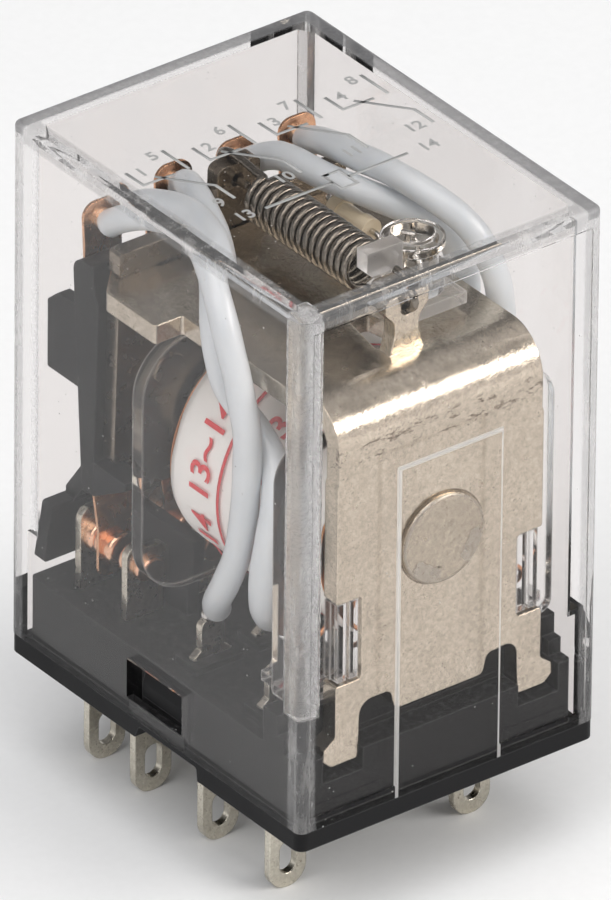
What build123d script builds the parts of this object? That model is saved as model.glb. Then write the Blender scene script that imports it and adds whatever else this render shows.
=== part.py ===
from build123d import *
import math
import os

# A plug-in relay with four changeover contacts, in millimetres.
# The origin is the centre of the base's underside, +Z is up and the blades point down.
# +X is the coil end with the bent steel yoke, and -X is the contact end.

# Driving dimensions of the case
LENGTH = 27.4
WIDTH = 21.1
HEIGHT = 35.2
FLANGE = 1.2
WALL = 1.1
ROOF = 1.0
RIB = 0.94  # the cover's corner ribs, along X
RIB_LOW = 8.3
PANEL_HALF = 3.65  # raised panel on the cover's end wall
PANEL_TOP = 23.0
PANEL_STEP = 0.15
WINDOW_HALF = 2.6
WINDOW_LOW = 2.3
WINDOW_HIGH = 4.85
NUB_OUT = 0.5  # how far the base's snap nub stands past the cover's inner wall
BASE_TOP = 5.3  # top of the base's body inside the cover
BASE_FIT = 0.12  # clearance between the base's body and the cover
GAP = 0.02  # clearance between parts that are set into each other

# Plug-in blades: four columns along Y and four rows along X
COLUMNS = (-6.6, -2.2, 2.2, 6.6)
COIL_COLUMNS = (-6.6, 6.6)
ROW_NC = -9.9
ROW_NO = -5.5
ROW_COMMON = 0.9
ROW_COIL = 7.25
TIP_Z = -6.8
BLADE_W = 2.6
BLADE_T = 0.5
EYE_W = 1.2
EYE_L = 2.2
EYE_Z = -4.8
NC_TOP = 10.5
NO_TOP = 10.1
COMMON_TOP = 8.2
COIL_TOP = 8.3

# Contacts
CONTACT_Z = 8.6
CONTACT_D = 2.2
CONTACT_H = 0.75  # how far a rivet head stands out
SHANK_D = 1.2
SPRING_BLADE_T = 0.2
# Middle of the moving blade at the contact: it touches the normally closed side at rest
BLADE_X = ROW_NC + BLADE_T / 2 + 2 * CONTACT_H + GAP + SPRING_BLADE_T / 2
BLADE_LOW_Z = 6.8
BLADE_TOP_Z = 30.75
# Middle of the moving blade at each of its bends, from the contact up to the end that the lead joins
BLADE_BENDS = ((BLADE_X, BLADE_LOW_Z), (BLADE_X, 9.9), (-8.45, 12.0), (-9.65, BLADE_TOP_Z))

# Magnet system
COIL_Z = 16.8  # height of the coil's axis
COIL_R = 7.4
COIL_X = (-2.35, 9.8)  # between the two bobbin flanges
CORE_R = 2.75
POLE_R = 3.6
POLE_T = 1.5
RING_Y = 1.2  # shading ring in the pole face
RING_R = 1.7
YOKE_X = 12.2  # outer face of the yoke's upright
YOKE_TOP = 27.4
YOKE_T = 1.2
YOKE_HALF = 7.2
YOKE_END = -7.6  # free end of the yoke's arm
EAR_HALF = 9.15
POST_X = 7.9  # spring post on the yoke
POST_T = 1.0
POST_HOOK_Z = 30.2
PIVOT = (-6.9, YOKE_TOP)  # X and Z of the edge that the armature rocks on
STROKE = 2.0  # degrees from rest to pulled in
ARMATURE_T = 1.0
PLATE_HALF = 7.7  # half the armature's width
NECK_HALF = 5.0
LIP_Z = 14.75  # the armature's lower corners rest here on the carrier
CARRIER_HALF = 8.35
CARRIER_LOW = 12.4
CARRIER_TOP = 27.6
RIVET_Y = (-4.4, 4.4)
RIVET_Z = 20.5
RIVET_R = 0.7
SPRING_R = 1.35  # radius of the spring wire's centreline
SPRING_WIRE = 0.5
SPRING_PITCH = 0.62
SPRING_TURNS = 15
SPRING_X = -3.7  # end of the coil on the armature's side
SPRING_Y = -0.1
SPRING_Z = 30.5
LEAD_D = 1.65

# Indicator lamp
LED_X = 5.3
LED_Y = 3.5
LED_LOW = 28.6
LED_R = 1.5
LED_RIM_R = 1.9

INNER_X = LENGTH / 2 - WALL
INNER_Y = WIDTH / 2 - WALL


def box(x, y, z):
    """A box between two values along each axis."""
    size = [high - low for low, high in (x, y, z)]
    middle = [(high + low) / 2 for low, high in (x, y, z)]
    return Pos(*middle) * Box(*size)


def outline(points, radius):
    """A closed flat face with rounded corners; radius is one value or one for each corner."""
    corners = [Vector(*point) for point in points]
    radii = [radius] * len(corners) if isinstance(radius, (int, float)) else radius
    starts = []
    ends = []
    arcs = []
    for index, corner in enumerate(corners):
        come = (corner - corners[index - 1]).normalized()
        leave = (corners[(index + 1) % len(corners)] - corner).normalized()
        half_turn = math.radians(come.get_angle(leave)) / 2
        reach = radii[index] * math.tan(half_turn)
        starts.append(corner - come * reach)
        ends.append(corner + leave * reach)
        if radii[index] > 0:
            inward = (leave - come).normalized()
            depth = radii[index] * (1 / math.cos(half_turn) - 1)
            arcs.append(Edge.make_three_point_arc(starts[-1], corner + inward * depth, ends[-1]))
    lines = []
    for index in range(len(corners)):
        if (starts[index] - ends[index - 1]).length > 1e-6:
            lines.append(Edge.make_line(ends[index - 1], starts[index]))
    return Face(Wire(lines + arcs))


def plate_x(points, x, radius=0.0):
    """A plate whose outline is in Y and Z, between two values of X."""
    plane = Plane((x[0], 0, 0), x_dir=(0, 1, 0), z_dir=(1, 0, 0))
    return extrude(plane * outline(points, radius), x[1] - x[0], dir=(1, 0, 0))


def plate_y(points, y, radius=0.0):
    """A plate whose outline is in X and Z, between two values of Y."""
    plane = Plane((0, y[0], 0), x_dir=(1, 0, 0), z_dir=(0, -1, 0))
    return extrude(plane * outline(points, radius), y[1] - y[0], dir=(0, 1, 0))


def plate_z(points, z, radius=0.0):
    """A plate whose outline is in X and Y, between two values of Z."""
    return extrude(Plane((0, 0, z[0])) * outline(points, radius), z[1] - z[0], dir=(0, 0, 1))


def both_sides(half):
    """An outline in Y and Z (or Y and X), made whole from its +Y half."""
    return half + [(-y, z) for y, z in reversed(half)]


def rod_x(x, y, z, radius):
    """A cylinder along X."""
    return Pos((x[0] + x[1]) / 2, y, z) * Rot(0, 90, 0) * Cylinder(radius, x[1] - x[0])


def save(name, shape):
    export_step(shape, f"parts/{name}.step")


# ---------------------------------------------------------------- case

def make_cover():
    """The clear cover: an open box with ribs in its inner corners and a window on each long side."""
    outer = box((-LENGTH / 2, LENGTH / 2), (-WIDTH / 2, WIDTH / 2), (FLANGE, HEIGHT))
    outer = fillet(outer.edges().filter_by(Axis.Z), 0.5)
    outer = fillet(outer.faces().sort_by(Axis.Z)[-1].edges(), 0.3)
    inner = box((-INNER_X, INNER_X), (-INNER_Y, INNER_Y), (FLANGE - 1, HEIGHT - ROOF))
    cover = outer - inner
    for side_x in (-1, 1):
        for side_y in (-1, 1):
            corner = [
                (side_x * INNER_X, side_y * INNER_Y),
                (side_x * (INNER_X - RIB), side_y * INNER_Y),
                (side_x * INNER_X, side_y * (INNER_Y - RIB * 0.57)),
            ]
            cover += plate_z(corner, (RIB_LOW, HEIGHT - ROOF))
    face = Plane((LENGTH / 2 - PANEL_STEP, 0, 0), x_dir=(0, 1, 0), z_dir=(1, 0, 0))
    frame = face * (Rectangle(WIDTH - 1.4, HEIGHT - 3.2, align=(Align.CENTER, Align.MIN)))
    frame = Pos(0, 0, FLANGE + 0.8) * frame
    panel = face * Rectangle(2 * PANEL_HALF, PANEL_TOP, align=(Align.CENTER, Align.MIN))
    cover -= extrude(frame - panel, PANEL_STEP)
    for side in (-1, 1):
        wall = sorted((side * INNER_Y, side * WIDTH / 2))
        cover -= box((-WINDOW_HALF, WINDOW_HALF), (wall[0] - 0.1, wall[1] + 0.1), (WINDOW_LOW, WINDOW_HIGH))
        # Relief on the wall's inside, so that the cover slides down over the nub
        relief = sorted((side * (INNER_Y - 0.1), side * (INNER_Y + NUB_OUT + 0.1)))
        cover -= box((-WINDOW_HALF, WINDOW_HALF), relief, (FLANGE - 1, WINDOW_LOW + 0.1))
    return cover


def make_base():
    """The black base: flange, body, snap nubs, contact walls and pockets for the yoke's feet."""
    flange = box((-LENGTH / 2, LENGTH / 2), (-WIDTH / 2, WIDTH / 2), (0, FLANGE))
    flange = fillet(flange.edges().filter_by(Axis.Z), 0.6)
    end_x = INNER_X - BASE_FIT
    end_y = INNER_Y - BASE_FIT
    body = box((-end_x, end_x), (-end_y, end_y), (FLANGE, BASE_TOP))
    body = fillet(body.edges().filter_by(Axis.Z), 0.3)
    base = flange + body
    # Stepped end walls beside the yoke's feet, and the wall behind its arches
    base += box((9.5, YOKE_X - 1.32), (-end_y, end_y), (BASE_TOP, 7.6))
    base += box((9.5, 11.5), (8.45, end_y), (BASE_TOP, 6.3))
    base += box((9.5, 11.5), (-end_y, -8.45), (BASE_TOP, 6.3))
    # Walls between the contact columns
    for y in (-4.4, 0, 4.4):
        base += box((-10.1, -3.6), (y - 0.4, y + 0.4), (BASE_TOP, 10.5))
    # Pads around the common and coil terminals
    for y in COLUMNS:
        base += box((ROW_COMMON - 1, ROW_COMMON + 1), (y - 1.7, y + 1.7), (BASE_TOP, 5.8))
    for y in COIL_COLUMNS:
        base += box((ROW_COIL - 0.9, ROW_COIL + 0.9), (y - 1.7, y + 1.7), (BASE_TOP, 5.8))
    # Pockets for the yoke's feet, open towards the cover
    foot_x = YOKE_X - YOKE_T - 0.1
    for side in (-1, 1):
        base -= box((foot_x, INNER_X + 1), sorted((side * 5.55, side * 8.4)), (3.5, 9))
    base -= box((foot_x, INNER_X + 1), (-5.6, 5.6), (4.9, 9))
    # Notches in the flange's long sides
    for side in (-1, 1):
        notch = sorted((side * (WIDTH / 2 - 1.8), side * (WIDTH / 2 + 1)))
        base -= plate_y([(-2.3, -1), (-1.4, 0.85), (4.0, 0.85), (4.2, -1)], notch, 0.2)
    # Snap nubs, sloped so that the cover rides over them
    for side in (-1, 1):
        root = side * (end_y - 0.2)
        tip = side * (INNER_Y + NUB_OUT)
        nub = [(root, 2.5), (tip, 2.5), (tip, 3.4), (side * (INNER_Y + 0.05), 4.7), (root, 4.7)]
        base += plate_x(nub, (-1.9, 2.35))
    # Slots that the plug-in blades stand in
    half_t = BLADE_T / 2 + GAP
    half_w = BLADE_W / 2 + GAP
    for row in (ROW_NC, ROW_NO, ROW_COMMON, ROW_COIL):
        for y in COIL_COLUMNS if row == ROW_COIL else COLUMNS:
            base -= box((row - half_t, row + half_t), (y - half_w, y + half_w), (-1, 6.5))
    return base


# ---------------------------------------------------------------- terminals and contacts

def make_terminal(row, y, top, upper_half, hole_z=None):
    """One plug-in blade with a round tip and an eye; hole_z takes a contact rivet."""
    half = BLADE_W / 2
    neck = 5.9
    side = [(half, TIP_Z), (half, neck), (upper_half, neck + 0.4), (upper_half, top)]
    points = [(y + dy, z) for dy, z in side] + [(y - dy, z) for dy, z in reversed(side)]
    radius = [1.25, 0.0, 0.0, 0.5, 0.5, 0.0, 0.0, 1.25]
    if upper_half == half:
        points = [(y + half, TIP_Z), (y + half, top), (y - half, top), (y - half, TIP_Z)]
        radius = [1.25, 0.8, 0.8, 1.25]
    blade = plate_x(points, (row - BLADE_T / 2, row + BLADE_T / 2), radius)
    eye = Plane((row - 1, y, EYE_Z), x_dir=(0, 0, 1), z_dir=(1, 0, 0)) * SlotOverall(EYE_L, EYE_W)
    blade -= extrude(eye, 2)
    if hole_z:
        blade -= rod_x((row - 1, row + 1), y, hole_z, SHANK_D / 2 + GAP)
    return blade


def rivet_head(x, direction, y, z, height, diameter):
    """A contact head that stands out from x, with a rounded rim."""
    head = rod_x(sorted((x, x + direction * height)), y, z, diameter / 2)
    rim = head.faces().sort_by(Axis.X)[-1 if direction > 0 else 0]
    return fillet(rim.edges(), min(0.3, height * 0.45))


def make_fixed_contact(row, y, direction):
    """A fixed contact rivet: head on the side of the moving blade, shank, and a spread tail behind."""
    face = row + direction * BLADE_T / 2
    back = row - direction * BLADE_T / 2
    shank = rod_x(sorted((face, back)), y, CONTACT_Z, SHANK_D / 2)
    tail = rivet_head(back, -direction, y, CONTACT_Z, 0.45, 1.8)
    return rivet_head(face, direction, y, CONTACT_Z, CONTACT_H, CONTACT_D) + shank + tail


def blade_x(z):
    """Middle of the moving blade at a height."""
    for (low_x, low_z), (high_x, high_z) in zip(BLADE_BENDS, BLADE_BENDS[1:]):
        if z <= high_z:
            return low_x + (z - low_z) / (high_z - low_z) * (high_x - low_x)
    return BLADE_BENDS[-1][0]


def blade_strip(extra):
    """The moving blade's section in X and Z, thicker by extra on each side."""
    half = SPRING_BLADE_T / 2 + extra
    left = [(x - half, z) for x, z in BLADE_BENDS]
    right = [(x + half, z) for x, z in reversed(BLADE_BENDS)]
    return left + right


def make_moving_blade(y):
    """A copper contact spring with rounded ends and a hole for its rivet."""
    half = BLADE_W / 2
    strip = plate_y(blade_strip(0), (y - half, y + half))
    low = BLADE_LOW_Z
    top = BLADE_TOP_Z
    face = [(y - half, low), (y - half, top), (y + half, top), (y + half, low)]
    strip = strip & plate_x(face, (-12, -6), [0.6, 0.9, 0.9, 0.6])
    return strip - rod_x((-10, -6), y, CONTACT_Z, SHANK_D / 2 + GAP)


def make_moving_contact(y):
    """A rivet with a head on both sides of its blade."""
    left = BLADE_X - SPRING_BLADE_T / 2
    right = BLADE_X + SPRING_BLADE_T / 2
    shank = rod_x((left, right), y, CONTACT_Z, SHANK_D / 2)
    heads = rivet_head(left, -1, y, CONTACT_Z, CONTACT_H, CONTACT_D)
    heads += rivet_head(right, 1, y, CONTACT_Z, CONTACT_H, CONTACT_D)
    return heads + shank


# ---------------------------------------------------------------- armature group

def to_rest(shape):
    """Turns a part that is drawn pulled in back to the rest position."""
    pivot = Axis((PIVOT[0], 0, PIVOT[1]), (0, 1, 0))
    return shape.rotate(pivot, STROKE)


def plate_face(z):
    """X of the armature's contact-side face at a height, at rest."""
    return PIVOT[0] - ARMATURE_T / 2 - (PIVOT[1] - z) * math.tan(math.radians(STROKE))


def make_armature():
    """The steel armature: a plate before the pole, a neck through the yoke's fork, a head with a tongue."""
    low = 12.9
    neck_low = YOKE_TOP - YOKE_T - 0.35
    head_low = YOKE_TOP + 0.04
    head_top = 29.0
    half = [
        (6.7, low),
        (6.7, LIP_Z + 0.15),
        (PLATE_HALF, LIP_Z + 0.15),
        (PLATE_HALF, neck_low),
        (NECK_HALF, neck_low),
        (NECK_HALF, head_low),
        (PLATE_HALF, head_low),
        (PLATE_HALF, head_top),
        (3.6, head_top),
        (2.0, head_top - 0.5),
        (1.5, 29.6),
        (1.5, 31.6),
    ]
    corner = [0.5, 0.2, 0.2, 0.4, 0.15, 0.15, 0.2, 0.3, 0.5, 0.4, 0.3, 0.5]
    middle = PIVOT[0]
    faces = (middle - ARMATURE_T / 2, middle + ARMATURE_T / 2)
    plate = plate_x(both_sides(half), faces, corner + corner[::-1])
    # The spring's hook goes through the tongue
    plate -= rod_x((middle - 1, middle + 1), SPRING_Y, SPRING_Z, 0.45)
    for y in RIVET_Y:
        plate -= rod_x((middle - 1, middle + 1), y, RIVET_Z, RIVET_R + GAP)
    return to_rest(plate)


def make_armature_rivets():
    """Two rivets that hold the armature on the contact carrier."""
    rivets = []
    inner = PIVOT[0] + ARMATURE_T / 2
    outer = PIVOT[0] - ARMATURE_T / 2
    for y in RIVET_Y:
        shank = rod_x((outer - 1.2, inner), y, RIVET_Z, RIVET_R)
        rivets.append(to_rest(shank + rivet_head(inner, 1, y, RIVET_Z, 0.3, 2.2)))
    return Compound(rivets)


def make_carrier():
    """The black contact carrier: a card moulded round the blades, side wings, lips and an arc shield."""
    back_low = blade_x(CARRIER_LOW) - 0.5
    back_top = blade_x(CARRIER_TOP) - 0.45
    bar = [
        (back_low, CARRIER_LOW),
        (back_top, CARRIER_TOP),
        (plate_face(CARRIER_TOP) - 0.6, CARRIER_TOP),
        (YOKE_END - 0.25, YOKE_TOP - YOKE_T - 0.4),
        (plate_face(25.2) - GAP, 25.2),
        (plate_face(CARRIER_LOW + 0.4) - GAP, CARRIER_LOW + 0.4),
        (plate_face(CARRIER_LOW) - 0.5, CARRIER_LOW),
    ]
    card = plate_y(bar, (-CARRIER_HALF, CARRIER_HALF), [0.3, 0.9, 0.3, 0.0, 0.0, 0.0, 0.0])
    for side in (-1, 1):
        # A lip under each lower corner of the armature
        lip = [
            (back_low + 0.4, CARRIER_LOW + 0.1),
            (-7.9, CARRIER_LOW + 0.1),
            (-4.9, LIP_Z - 0.5),
            (-4.9, LIP_Z),
            (-8.2, LIP_Z),
        ]
        card += plate_y(lip, sorted((side * 6.9, side * (CARRIER_HALF - 0.03))))
        # A wing that guides the card in the cover
        wing = [(-9.4, 19.05), (-12.3, 19.05), (-12.3, 23.5), (-11.4, 24.3), (-9.4, 24.4)]
        span = sorted((side * (CARRIER_HALF - 0.9), side * (CARRIER_HALF - 0.03)))
        card += plate_y(wing, span, [0.0, 0.1, 0.2, 0.2, 0.0])
    # The arc shield behind the contacts, on a sloping web
    web = [(-12.0, 9.7), (-11.5, 9.7), (-11.1, 10.4), (-9.1, 13.0), (-8.7, 13.0), (-8.7, 14.5)]
    web += [(-9.4, 14.5), (-12.0, 10.8)]
    card += plate_y(web, (-7.2, 7.2))
    shield = both_sides([(9.3, 6.7), (8.7, 10.3)])
    card += plate_x([shield[1], shield[0], shield[3], shield[2]], (-12.2, -11.3), 0.2)
    for y in COLUMNS:
        card -= plate_y(blade_strip(GAP), (y - BLADE_W / 2 - GAP, y + BLADE_W / 2 + GAP))
    for y in RIVET_Y:
        hole = rod_x((PIVOT[0] - ARMATURE_T / 2 - 1.2 - GAP, PIVOT[0]), y, RIVET_Z, RIVET_R + GAP)
        card -= to_rest(hole)
    return card


# ---------------------------------------------------------------- magnet system

def make_yoke():
    """The bent steel yoke: an upright with feet, an arm with ears and a fork, and a raised spring post."""
    inner_x = YOKE_X - YOKE_T
    low = 4.2
    section = [
        (YOKE_END, YOKE_TOP),
        (YOKE_X, YOKE_TOP),
        (YOKE_X, low),
        (inner_x, low),
        (inner_x, YOKE_TOP - YOKE_T),
        (YOKE_END, YOKE_TOP - YOKE_T),
    ]
    yoke = plate_y(section, (-EAR_HALF, EAR_HALF), [0, 2.8, 0, 0, 1.6, 0])
    ear_end = -1.1
    arm = [
        (YOKE_END + 1.35, NECK_HALF + 0.15),
        (YOKE_END, NECK_HALF + 0.15),
        (YOKE_END, 7.4),
        (-5.7, EAR_HALF),
        (ear_end, EAR_HALF),
        (ear_end, YOKE_HALF),
        (20.0, YOKE_HALF),
    ]
    arm += [(x, -y) for x, y in reversed(arm)]
    ends = [0.2, 0.3, 0.3, 0.5, 0.2, 0.2, 0]
    plan = plate_z(arm, (22.6, YOKE_TOP + 1), ends + ends[::-1])
    upright = both_sides([
        (3.1, 6.5),
        (3.4, 7.8),
        (5.6, 7.8),
        (5.7, low),
        (7.6, low),
        (8.15, 4.7),
        (8.1, 5.4),
        (7.3, 6.0),
        (7.3, 9.35),
        (5.5, 9.35),
        (5.5, 14.8),
        (7.3, 14.8),
        (7.3, 22.4),
        (YOKE_HALF, 22.7),
    ])
    bends = [0.4, 0.5, 0.9, 0.2, 0.3, 0.2, 0.2, 0.4, 0.15, 0.3, 0.3, 0.15, 0.1, 0]
    front = plate_x(upright, (inner_x - 2, YOKE_X + 1), bends + bends[::-1])
    yoke = yoke & (plan + front)
    # The post is lanced out of the arm and leaves a hole beside it
    post = both_sides([(1.35, YOKE_TOP - 0.6), (0.85, 28.6), (0.85, 29.4), (1.5, 30.2), (1.5, 31.2)])
    post = plate_x(post, (POST_X, POST_X + POST_T), [0, 0.6, 0.5, 0.3, 0.4, 0.4, 0.3, 0.5, 0.6, 0])
    post -= rod_x((POST_X - 1, POST_X + 2), 0, POST_HOOK_Z, 0.45)
    hole = [(POST_X - 0.02, -1.3), (POST_X - 0.02, 1.3), (POST_X - 3.6, 0.7), (POST_X - 3.6, -0.7)]
    yoke -= plate_z(hole, (YOKE_TOP - 2, YOKE_TOP + 1), 0.3)
    yoke += post
    return yoke - rod_x((inner_x - 1, YOKE_X + 1), 0, COIL_Z, CORE_R - 0.6 + GAP)


def make_core():
    """The iron core: a pole plate, a round bar through the coil, and its end riveted over the yoke."""
    pole = PIVOT[0] + ARMATURE_T / 2 + GAP
    inner_x = YOKE_X - YOKE_T
    core = rod_x((pole, pole + POLE_T), 0, COIL_Z, POLE_R)
    core = fillet(core.edges().filter_by(GeomType.CIRCLE), 0.2)
    core += rod_x((pole + POLE_T, inner_x), 0, COIL_Z, CORE_R)
    core += rod_x((inner_x, YOKE_X), 0, COIL_Z, CORE_R - 0.6)
    head = rod_x((YOKE_X, YOKE_X + 0.35), 0, COIL_Z, 2.85)
    core += fillet(head.faces().sort_by(Axis.X)[-1].edges(), 0.15)
    groove = Cylinder(RING_R + 0.36, 1.6) - Cylinder(RING_R - 0.36, 1.6)
    return core - Pos(pole, RING_Y, COIL_Z) * Rot(0, 90, 0) * groove


def make_shading_ring():
    """A copper ring set in the pole face."""
    pole = PIVOT[0] + ARMATURE_T / 2 + GAP
    middle = pole + 0.42
    ring = Cylinder(RING_R + 0.34, 0.72) - Cylinder(RING_R - 0.34, 0.72)
    return Pos(middle, RING_Y, COIL_Z) * Rot(0, 90, 0) * ring


def flange_outline(half, low, top):
    """An outline in Y and Z for a bobbin flange."""
    return [(half, low), (half, top), (-half, top), (-half, low)]


def make_bobbin():
    """The clear bobbin: a tube with two flanges, and lugs that stand in the yoke's side notches."""
    left = (COIL_X[0] - 0.95, COIL_X[0])
    right = (COIL_X[1], YOKE_X - YOKE_T - GAP)
    bobbin = plate_x(flange_outline(9.05, 8.4, 25.0), left, 3.4)
    bobbin += plate_x(flange_outline(9.0, 8.0, 24.8), right, [0.8, 2.6, 2.6, 0.8])
    bobbin += rod_x((left[0], right[1]), 0, COIL_Z, CORE_R + 0.75)
    # A collar between the flange and the pole plate
    bobbin += rod_x((PIVOT[0] + 0.5 + POLE_T + 2 * GAP, left[0]), 0, COIL_Z, CORE_R + 1.0)
    for side in (-1, 1):
        for low in (5.65, 6.5):
            lug = sorted((side * low, side * (low + 0.6)))
            bobbin += box((right[1] - 0.3, YOKE_X - 0.15), lug, (9.5, 14.65))
        back = sorted((side * 5.6, side * 7.2))
        bobbin += box((right[1] - 0.3, right[1] + 0.45), back, (9.5, 14.65))
        foot = sorted((side * 5.6, side * 8.6))
        bobbin += box((8.3, right[0] + 0.1), foot, (8.45, 9.1))
    return bobbin - rod_x((-10, 20), 0, COIL_Z, CORE_R + GAP)


def make_winding():
    """The copper winding."""
    winding = rod_x((COIL_X[0] + 0.05, COIL_X[1] - 0.05), 0, COIL_Z, COIL_R - 0.3)
    return winding - rod_x((-10, 20), 0, COIL_Z, CORE_R + 0.75 + GAP)


def make_tape():
    """White tape wrapped round the winding."""
    tape = rod_x((COIL_X[0] + 0.15, COIL_X[1] - 0.15), 0, COIL_Z, COIL_R)
    return tape - rod_x((-10, 20), 0, COIL_Z, COIL_R - 0.3 + GAP)


# ---------------------------------------------------------------- wires and spring

def tube(points, diameter):
    """A wire along straight runs joined by the largest arcs that they leave room for."""
    corners = [Vector(*point) for point in points]
    here = corners[0]
    edges = []
    radii = []
    for before, corner, after in zip(corners, corners[1:], corners[2:]):
        come = (corner - before).normalized()
        leave = (after - corner).normalized()
        half_turn = math.radians(come.get_angle(leave)) / 2
        reach = 0.45 * min((corner - before).length, (after - corner).length)
        radius = reach / math.tan(half_turn)
        start = corner - come * reach
        end = corner + leave * reach
        middle = corner + (leave - come).normalized() * radius * (1 / math.cos(half_turn) - 1)
        edges.append(Edge.make_line(here, start))
        edges.append(Edge.make_three_point_arc(start, middle, end))
        radii.append(radius)
        here = end
    edges.append(Edge.make_line(here, corners[-1]))
    path = Wire(edges)
    section = Plane(origin=path @ 0, z_dir=path % 0) * Circle(diameter / 2)
    solid = sweep(section, path=path)
    share = solid.volume / (math.pi * diameter**2 / 4 * path.length)
    print(f"tube: length {path.length:.1f} mm, volume {share:.3f}, tightest {min(radii):.1f} mm")
    return solid


def lead_start(y):
    """Where a lead leaves the solder on its blade."""
    return (-8.7, y, 29.6)


# Each lead runs from its blade over the yoke, down beside the coil and in to its common terminal
LEAD_ROUTES = (
    (
        (-7.2, -6.75, 30.8),
        (-5.2, -6.55, 31.8),
        (-2.8, -6.25, 32.4),
        (0.2, -6.9, 32.6),
        (2.6, -8.0, 32.3),
        (4.2, -8.58, 30.9),
        (5.3, -8.6, 28.6),
        (6.2, -8.61, 26.2),
        (6.9, -8.6, 24.0),
        (6.85, -8.61, 21.4),
        (6.65, -8.6, 18.6),
        (6.1, -8.58, 15.8),
        (4.9, -8.45, 13.2),
        (3.2, -8.0, 10.9),
    ),
    (
        (-7.3, -3.1, 31.0),
        (-5.2, -4.0, 31.6),
        (-2.8, -4.8, 31.4),
        (-0.4, -5.8, 30.9),
        (1.5, -7.0, 30.4),
        (2.8, -8.0, 29.3),
        (3.5, -8.25, 27.6),
        (4.05, -8.2, 25.9),
        (4.8, -7.5, 24.2),
        (6.0, -6.9, 22.9),
        (7.4, -6.95, 21.6),
        (8.55, -7.85, 19.9),
        (8.5, -8.35, 17.3),
        (8.0, -8.3, 14.8),
        (7.2, -7.7, 12.4),
        (5.6, -6.0, 10.2),
        (3.8, -4.4, 9.1),
    ),
    (
        (-7.1, 2.75, 30.9),
        (-4.8, 2.75, 31.5),
        (-2.4, 3.1, 31.4),
        (-0.2, 3.9, 31.25),
        (1.5, 5.3, 30.65),
        (2.7, 6.8, 29.8),
        (3.3, 8.0, 28.4),
        (3.7, 8.3, 26.6),
        (4.35, 7.7, 24.8),
        (5.2, 7.0, 23.3),
        (6.4, 6.76, 22.1),
        (7.9, 7.45, 20.8),
        (8.65, 8.25, 18.9),
        (8.4, 8.38, 16.6),
        (7.9, 8.2, 14.4),
        (7.0, 7.4, 12.1),
        (5.4, 5.9, 10.1),
        (3.8, 4.4, 9.1),
    ),
    (
        (-7.0, 6.1, 30.6),
        (-4.8, 5.3, 31.7),
        (-2.2, 5.0, 32.3),
        (0.6, 5.25, 32.65),
        (3.2, 6.0, 32.1),
        (5.2, 7.4, 30.7),
        (6.3, 8.4, 28.4),
        (6.6, 8.6, 25.6),
        (6.4, 8.6, 22.4),
        (6.3, 8.6, 19.2),
        (5.9, 8.58, 16.0),
        (4.7, 8.45, 13.1),
        (3.1, 8.0, 10.8),
    ),
)


def lead_end(y):
    """Where a lead's insulation ends above its common terminal."""
    return (ROW_COMMON + 0.9, y * 1.03 if abs(y) > 5 else y * 1.35, 9.35 if abs(y) > 5 else 8.6)


def make_lead(index):
    y = COLUMNS[index]
    return tube((lead_start(y),) + LEAD_ROUTES[index] + (lead_end(y),), LEAD_D)


def make_spring():
    """The return spring: a close-wound coil with a hook at each end."""
    height = SPRING_PITCH * SPRING_TURNS
    path = Helix(SPRING_PITCH, height, SPRING_R)
    section = Plane(origin=path @ 0, z_dir=path % 0) * Circle(SPRING_WIRE / 2)
    coil = sweep(section, path=path, is_frenet=True)
    return Pos(SPRING_X, SPRING_Y, SPRING_Z) * Rot(0, 90, 0) * coil


def make_blade_solder(leads):
    """Solder that joins each lead to its moving blade."""
    blobs = []
    for y, lead in zip(COLUMNS, leads):
        face = blade_x(29.6)
        blob = rod_x((face, lead_start(y)[0] + 0.25), y, 29.6, 0.6)
        blobs.append((blob - lead - make_moving_blade(y)).solid())
    return Compound(blobs)


def make_terminal_solder():
    """Solder on the ends of the common and coil terminals."""
    blobs = []
    for y in COLUMNS:
        blobs.append(Pos(ROW_COMMON, y, COMMON_TOP + 0.45) * Sphere(0.45))
    for y in COIL_COLUMNS:
        blobs.append(Pos(ROW_COIL, y, COIL_TOP + 0.45) * Sphere(0.45))
    return Compound(blobs)


# ---------------------------------------------------------------- indicator

def make_led():
    """A clear indicator lamp with a broad rim round its upper end."""
    body = Pos(LED_X, LED_Y, LED_LOW + 1.1) * Cylinder(LED_R, 2.2)
    rim = Pos(LED_X, LED_Y, LED_LOW + 2.3) * Cylinder(LED_RIM_R, 0.6)
    rim = fillet(rim.edges().filter_by(GeomType.CIRCLE), 0.15)
    cap = Pos(LED_X, LED_Y, LED_LOW + 2.7) * Cylinder(LED_R - 0.2, 0.3)
    return body + rim + fillet(cap.edges().filter_by(GeomType.CIRCLE), 0.1)


def make_led_holder():
    """A clear holder on the yoke that carries the lamp, with a guard at the spring's end."""
    plate = box((LED_X - 2.1, LED_X + 2.0), (LED_Y - 2.0, LED_Y + 2.0), (LED_LOW - 0.8, LED_LOW - GAP))
    leg = box((LED_X - 1.2, LED_X + 1.2), (LED_Y - 1.4, LED_Y - 0.4), (YOKE_TOP + GAP, LED_LOW - 0.8))
    guard_x = (5.95, 6.9)
    guard = box(guard_x, (-0.95, 1.0), (30.6, 32.2))
    guard = chamfer(guard.faces().sort_by(Axis.Z)[0].edges().filter_by(Axis.X), 0.35)
    post = box(guard_x, (0.75, LED_Y - 1.93), (LED_LOW - 0.8, 32.2))
    return plate + leg + guard + post


def make_resistor():
    """The lamp's series resistor, lying over the yoke."""
    x, y, z = -0.6, 3.8, 29.3
    body = rod_x((x - 1.6, x + 1.6), y, z, 0.6)
    for end in (-1, 1):
        body += rod_x(sorted((x + end * 0.9, x + end * 1.7)), y, z, 0.72)
    return body


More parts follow.
